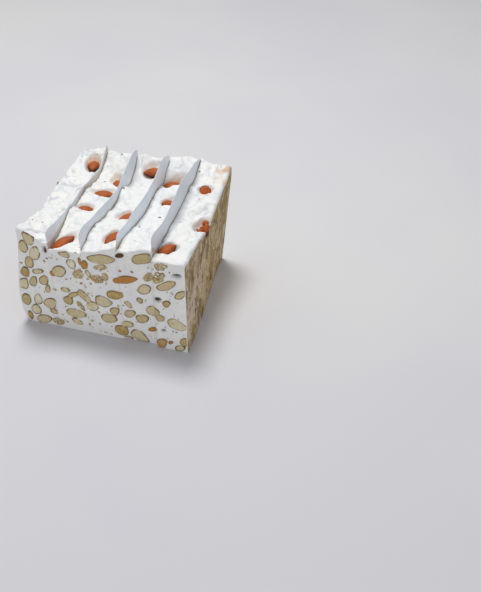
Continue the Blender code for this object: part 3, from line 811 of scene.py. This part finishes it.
front_kinds = [(nut, kind) for kind, nuts in FRONT_NUTS.items() for nut in nuts]
faces_of = {k: [] for k in range(SLICE_COUNT)}
front_chips = crumbs_among((*front_nuts, *FRONT_HOLLOWS), CUTS[0] - 6, CUTS[-1], 5, 320)
back_chips = crumbs_among(back_nuts, CUTS[0], CUTS[-1], 6, 260)
left_chips = crumbs_among(left_nuts, slice_front(0), slice_back(0), 7, 160)
right_chips = crumbs_among(right_nuts, slice_front(LAST), slice_back(LAST), 8, 160)
# The two nuts that stand out on the right side, one in its skin and one dark
RIGHT_NUTS = (((-41.7, 47.1, 12.0, 3.6, 82), "skin"), ((-48.0, 29.0, 6.0, 2.4, 70), "dark"))
for k in range(SLICE_COUNT):
    front_y, back_y = slice_front(k), slice_back(k)
    ahead = front_kinds + kinds_of(front_chips, 11)
    behind = kinds_of(back_nuts, 12) + kinds_of(back_chips, 13)
    faces_of[k].append((ahead, end_field(k, front_y), lambda x, z, out, k=k: mm(x, front_at(k, x) - out, z)))
    faces_of[k].append((behind, end_field(k, back_y), lambda x, z, out, k=k: mm(x, back_at(k, x) + out, z)))
beside = [(nut, "smeared") for nut in left_nuts] + kinds_of(left_chips, 15)
faces_of[0].append((beside, side_field(0, CUTS[0]), lambda y, z, out: mm(left_side(y, z) - out, y, z)))
beside = [(nut, "smeared") for nut in right_nuts] + kinds_of(right_chips, 17)
beside += RIGHT_NUTS
faces_of[LAST].append(
    (beside, side_field(LAST, CUTS[-1]), lambda y, z, out: mm(right_side(y, z) + out, y, z))
)

# Cut almond: waxy cream flesh, tan where the heat reached it, with a thin line of brown skin round it.
cut_almond, tree, shader = new_material("cut_almond", 0.42, 1.47)
toasted = coat(tree, linear("A88A2E"), linear("B88E54"), "blush")
flesh = coat(tree, linear("E8E4C8"), toasted, "toast")
flesh = coat(tree, flesh, linear("D4C590"), pattern(tree, 5.0, low=0.42, high=0.62), 0.5)
flesh = coat(tree, flesh, linear("A48A44"), pattern(tree, 2.6, detail=4.0, low=0.5, high=0.7), 0.4)
flesh = coat(tree, flesh, linear("8E7448"), pattern(tree, 1.4, detail=4.0, low=0.55, high=0.75), 0.4)
# Past the first limit of toast a nut shows its whole brown skin, and past the second it is burnt.
toast = add_node(tree, "ShaderNodeAttribute", attribute_name="toast").outputs["Fac"]
for limit, colour in ((1.2, "BC8234"), (2.4, "4A2A1C")):
    past = add_node(tree, "ShaderNodeMath", {0: toast, 1: limit}, operation="SUBTRACT", use_clamp=True)
    flesh = coat(tree, flesh, linear(colour), past.outputs[0])
rim = coat(tree, linear("57401F"), linear("80602E"), pattern(tree, 2.0))
flesh = coat(tree, flesh, rim, "skin", pattern(tree, 5.0, low=0.32, high=0.56))
dress(tree, shader, flesh, pattern(tree, 0.8), 0.08)

for k, shown in faces_of.items():
    shell = ([], [], [], [], [])
    for nuts, field, on_face in shown:
        draw = random.Random(100 + k)
        for nut, kind in nuts:
            pieces = [nut]
            if kind == "broken" and nut[2] > LARGE_NUT:
                cut_nut_shell(nut, field, 0.75, False, on_face, shell, -BED_SUNK)
                pieces = chips_of(nut, draw)
            for piece in pieces:
                toast = max(TOAST[kind] + draw.uniform(-0.22, 0.25), 0.0)
                skinned = nut[2] < 3 and draw.random() < 0.3
                cut_nut_shell(piece, field, toast, skinned, on_face, shell)
    points, faces, toasts, skins, blushes = shell
    marks = {"toast": toasts, "skin": skins, "blush": blushes}
    piece = new_piece(f"cut_almonds_{k + 1}", points, faces, cut_almond, marks)
    tidy = bmesh.new()
    tidy.from_mesh(piece.data)
    bmesh.ops.recalc_face_normals(tidy, faces=tidy.faces)
    tidy.to_mesh(piece.data)
    tidy.free()
    piece.data.set_sharp_from_angle(angle=math.radians(50))
    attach(piece, "root")
    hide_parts(f"slice_{k + 1}")

# The whole almonds
# Roasted kernels in their brown skins, pressed into the top while it was soft.
# Each lies in a pit that the nougat drew back from, with only its upper side clear.


def almond_girth(u):
    """Share of the full girth at u, from -1 at the round end to 1 at the pointed one."""
    return math.sqrt(max(1 - u * u, 0.0)) if u < 0 else max(1 - u**1.7, 0.0) ** 0.85


def kernel(length, width, thickness, seed, rings=44, sides=36):
    """A whole almond along X as (points, faces), with the wrinkles of its skin running lengthwise."""
    points = [mm(-length / 2, 0, 0)]
    for ring in range(1, rings):
        u = -math.cos(math.pi * ring / rings)
        for n in range(sides):
            a = 2 * math.pi * n / sides
            girth = almond_girth(u)
            wrinkle = 0.30 * noise.noise(Vector((1.3 * u, 2.6 * math.cos(a) + seed, 2.6 * math.sin(a))))
            wrinkle += 0.16 * noise.noise(Vector((3.1 * u, 6.5 * math.cos(a) + seed, 6.5 * math.sin(a))))
            y = (width / 2 * girth + wrinkle * girth) * math.cos(a)
            z = (thickness / 2 * girth + wrinkle * girth) * math.sin(a)
            points.append(mm(length / 2 * u, y, z))
    points.append(mm(length / 2, 0, 0))
    last = len(points) - 1
    faces = []
    for n in range(sides):
        m = (n + 1) % sides
        faces.append([0, 1 + m, 1 + n])
        faces.append([last, last - sides + n, last - sides + m])
        for ring in range(rings - 2):
            start = 1 + ring * sides
            faces.append([start + n, start + m, start + sides + m, start + sides + n])
    return points, faces


# Roasted almond skin: dry and dull, orange brown with darker lengthwise wrinkles, maroon low down.
almond_skin, tree, shader = new_material("roasted_almond_skin", 0.6, 1.45)
shader.inputs["Specular IOR Level"].default_value = 0.35
brown = coat(tree, linear("BA6228"), linear("9E4C1A"), pattern(tree, 5.0, (0.4, 1, 1)))
brown = coat(tree, brown, linear("6C3219"), pattern(tree, 1.6, (0.12, 1, 1), low=0.5, high=0.68), 0.6)
brown = coat(tree, brown, linear("BD8648"), pattern(tree, 3.0, low=0.6, high=0.72), 0.25)
brown = coat(tree, brown, linear("501F14"), ramp(tree, 2, 2.2, -0.4))
dress(tree, shader, brown, pattern(tree, 0.9, (0.2, 1, 1)), 0.15)

# The almond that broke up shows as chunks, and one small nut lies on the slab's edge beside it.
BROKEN_ALMOND, CHUNKS = 11, 7
CHUNK_TURNS = ((-0.8, 0.8), (-0.6, 0.6), (0, 6.3))
EDGE_NUT, EDGE_NUT_SIZE, EDGE_NUT_LEAN = (73.2, -8.8, 87.6), (12.5, 7.0, 4.5), 1.1
for n, (x, y, heading, tilt, length, width, thickness, sunk) in enumerate(WHOLE_ALMONDS):
    turn = Euler((0, -math.radians(tilt), math.radians(heading)))
    place = mm(x, y, bare_top(slice_at(x), x, y) - sunk)
    if n != BROKEN_ALMOND:
        points, faces = kernel(length, width, thickness, 3.7 * n)
    else:
        draw = random.Random(29)
        points, faces = [], []
        for chunk in range(CHUNKS):
            chip_points, chip_faces = kernel(
                length * draw.uniform(0.26, 0.42), width * draw.uniform(0.3, 0.5), thickness * 0.45,
                chunk * 2.3, 14, 12,
            )
            chip_turn = Euler([draw.uniform(*limits) for limits in CHUNK_TURNS]).to_matrix()
            shift = mm(
                (chunk - CHUNKS // 2) * length / 9 + draw.uniform(-1, 1),
                draw.uniform(-0.26, 0.26) * width,
                draw.uniform(0.12, 0.34) * thickness,
            )
            start = len(points)
            points += [chip_turn @ point + shift for point in chip_points]
            faces += [[start + m for m in face] for face in chip_faces]
        edge_points, edge_faces = kernel(*EDGE_NUT_SIZE, 5.0, 24, 20)
        back_turn = turn.to_matrix().inverted()
        upright = Euler((math.radians(90), 0, math.radians(90))).to_matrix()
        edge_turn = back_turn @ upright @ Euler((0, 0, EDGE_NUT_LEAN)).to_matrix()
        start = len(points)
        points += [edge_turn @ point + back_turn @ (mm(*EDGE_NUT) - place) for point in edge_points]
        faces += [[start + m for m in face] for face in edge_faces]
    piece = new_piece(f"roasted_almond_{n + 1:02d}", points, faces, almond_skin)
    piece.rotation_euler = turn
    piece.location = place
    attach(piece, "root")
    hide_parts(f"almond_{n + 1:02d}")

# Crumbs on top
# Flakes of skin and slivers that came off the nuts while they were stirred.
# They are stuck to the top and show as specks.
SPECKS = (
    (-58, -15), (-33, 67), (48, 54), (-54, -33), (65, -18), (65, -11), (-53, 57), (-14.5, -44),
    (-62, -48), (20, -30), (30, -8),
)
MORE_FLAKES, LARGE_FLAKES, FLAKE_CLEARANCE = 60, 16, 2.2
# Almond skin in flakes, sunk in the nougat's surface, so that it shows grey brown through it.
flake_brown, tree, shader = new_material("sunken_skin_flake", 0.6, 1.45)
flake_colour = coat(tree, linear("8C8178"), linear("5F544A"), pattern(tree, 1.5))
tree.links.new(flake_colour, shader.inputs["Base Color"])
draw = random.Random(31)
specks = [*SPECKS, *((draw.uniform(-71, 71), draw.uniform(-66, 66)) for _ in range(MORE_FLAKES))]
points, faces = [], []
for n, (x, y) in enumerate(specks):
    if min(abs(x - cut) for cut in CUTS) < FLAKE_CLEARANCE:
        continue
    size = draw.uniform(1.2, 2.2) if n < LARGE_FLAKES else draw.uniform(0.4, 1.0)
    flake_points, flake_faces = kernel(size * 1.7, size, size * 0.5, n, 6, 8)
    level = slice_top(slice_at(x), x, y)[0]
    turn = Euler((0, 0, draw.uniform(0, 6.3))).to_matrix()
    start = len(points)
    points += [turn @ point + mm(x, y, level) for point in flake_points]
    faces += [[start + m for m in face] for face in flake_faces]
flakes = new_piece("skin_flakes", points, faces, flake_brown)
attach(flakes, "root")

# The papers
# Sheets of greaseproof paper stood in the cuts so that the slices don't stick together again.
# They are stiff and wave a little where they stand above the nougat.
PAPER_THICKNESS, PAPER_MARGIN, PAPER_CORNER = 0.3, 1.4, 6.0
PAPER_FOLD, PAPER_WAVE, PAPER_RISE, CONTACT_SHADE_RISE = 26.0, 2.4, 1.5, 1.6
# The height of each sheet's upper edge, from the front to the back
PAPER_TOPS = (
    (105, 102, 99, 100, 99, 98, 112),
    (110, 108, 104, 101, 103, 111, 113),
    (112, 109, 109, 107, 109, 116, 111),
    (116, 114, 114, 119, 120, 118, 113),
)

# Greaseproof paper: smooth, dense and pale blue grey, with a soft sheen, and a thin tan grey line of painted
# contact shadow where it leaves the nougat.
paper, tree, shader = new_material("greaseproof_paper", 0.38, 1.5)
sheet_colour = coat(tree, linear("EDF3F9"), linear("DFE7EF"), pattern(tree, 24.0, (1, 1, 0.5)))
# Painted contact shadow: a thin tan grey line on the paper just above the nougat
sheet_colour = coat(tree, sheet_colour, linear("C2B39C"), "contact_shade", 0.75)
dress(tree, shader, sheet_colour, pattern(tree, 1.2), 0.03)

for k in range(SLICE_COUNT - 1):
    cut = CUTS[k + 1]
    front = max(slice_front(k), slice_front(k + 1)) + PAPER_MARGIN
    back = min(slice_back(k), slice_back(k + 1)) - PAPER_MARGIN
    rows, flat_rows, stations = 30, 6, 150
    points, contact_shade = [], []
    for station in range(stations + 1):
        y = front + (back - front) * (0.5 - 0.5 * math.cos(math.pi * station / stations))
        beside = max(pressed_top(k, cut, y), pressed_top(k + 1, cut, y))
        from_end = min(max(y - front, 0.0), max(back - y, 0.0), PAPER_CORNER)
        rounding = PAPER_CORNER - math.sqrt(from_end * (2 * PAPER_CORNER - from_end))
        rim = along(PAPER_TOPS[k], y / SLAB_DEPTH + 0.5) - rounding + 0.35 * rough(y, k, 1.0, 7.0)
        rim = max(rim, beside + 2 * PAPER_RISE)
        for row in range(rows + 1):
            if row <= flat_rows:
                z = PAPER_MARGIN + (beside - PAPER_MARGIN) * row / flat_rows
                rise = 0.0
            else:
                rise = (row - flat_rows) / (rows - flat_rows)
                z = beside + (rim - beside) * rise
            wave = PAPER_WAVE * noise.noise(Vector((y / PAPER_FOLD, 7.0 * k, 3.0))) * rise**1.5
            wave += 0.25 * rise * noise.noise(Vector((y / 9, 7.0 * k, z / 9)))
            for side in (-1, 1):
                points.append(mm(cut + wave + side * PAPER_THICKNESS / 2, y, z))
                # The painted contact shadow fades out over a short rise above the nougat
                contact_shade.append(max(0.0, 1 - max(z - beside, 0.0) / CONTACT_SHADE_RISE))

    def corner(station, row, side):
        return (station * (rows + 1) + row) * 2 + side

    faces = []
    square = ((0, 0), (1, 0), (1, 1), (0, 1))
    for station in range(stations):
        for row in range(rows):
            ring = [(station + a, row + b) for a, b in square]
            faces.append([corner(*place, 1) for place in ring])
            faces.append([corner(*place, 0) for place in reversed(ring)])
    for station in range(stations):
        for row, flip in ((0, False), (rows, True)):
            ring = [corner(station + a, row, side) for a, side in square]
            faces.append(ring[::-1] if flip else ring)
    for row in range(rows):
        for station, flip in ((0, True), (stations, False)):
            ring = [corner(station, row + b, side) for b, side in square]
            faces.append(ring[::-1] if flip else ring)
    piece = new_piece(f"paper_{k + 1}", points, faces, paper, {"contact_shade": contact_shade})
    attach(piece, "root")
    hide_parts(f"sheet_{k + 1}")

# The floor, the light and the camera
# A plain pale floor, a soft lamp above the far left, a weak one low in front, and an even light all round.
# The camera stands where the photograph was taken from.
floor_mesh = bpy.data.meshes.new("floor")
floor_mesh.from_pydata([(-4, -4, 0), (4, -4, 0), (4, 4, 0), (-4, 4, 0)], [], [(0, 1, 2, 3)])
floor = bpy.data.objects.new("floor", floor_mesh)
bpy.context.scene.collection.objects.link(floor)
matt, tree, shader = new_material("matt_floor", 0.9, 1.45)
floor_colour = coat(tree, linear("DCDBD9"), linear("D2D2D7"), pattern(tree, 400.0))
tree.links.new(floor_colour, shader.inputs["Base Color"])
floor_mesh.materials.append(matt)

world = bpy.data.worlds.new("room")
bpy.context.scene.world = world
world.use_nodes = True
world.node_tree.nodes["Background"].inputs["Color"].default_value = (0.95, 0.955, 1.0, 1.0)
world.node_tree.nodes["Background"].inputs["Strength"].default_value = 0.43

# Place in metres, width in metres and power in watts of each lamp
LAMPS = {
    "key": (Vector((-0.18, 0.28, 1.4)), 0.45, 12.4),
    "fill": (Vector((0.4, -1.6, 0.3)), 0.8, 3.6),
}
for name, (place, size, power) in LAMPS.items():
    light = bpy.data.lights.new(name, "AREA")
    light.shape = "DISK"
    light.size = size
    light.energy = power
    lamp = bpy.data.objects.new(name, light)
    lamp.location = place
    lamp.rotation_euler = (Vector((0, 0, 0.05)) - place).to_track_quat("-Z", "Y").to_euler()
    bpy.context.scene.collection.objects.link(lamp)

CAMERA_AZIMUTH, CAMERA_ELEVATION, CAMERA_ROLL = (math.radians(a) for a in (14.77, 39.92, 0.67))
CAMERA_PLACE = mm(259.168, -595.036, 528.108)
away = Vector((
    math.sin(CAMERA_AZIMUTH) * math.cos(CAMERA_ELEVATION),
    -math.cos(CAMERA_AZIMUTH) * math.cos(CAMERA_ELEVATION),
    math.sin(CAMERA_ELEVATION),
))
lens = bpy.data.cameras.new("camera")
lens.sensor_width = 36.0
lens.lens = 52.69
camera = bpy.data.objects.new("camera", lens)
camera.location = CAMERA_PLACE
camera.rotation_mode = "QUATERNION"
roll = Quaternion((0, 0, 1), CAMERA_ROLL)
camera.rotation_quaternion = away.to_track_quat("Z", "Y") @ roll
bpy.context.scene.collection.objects.link(camera)
bpy.context.scene.camera = camera
bpy.context.scene.view_settings.view_transform = "Standard"
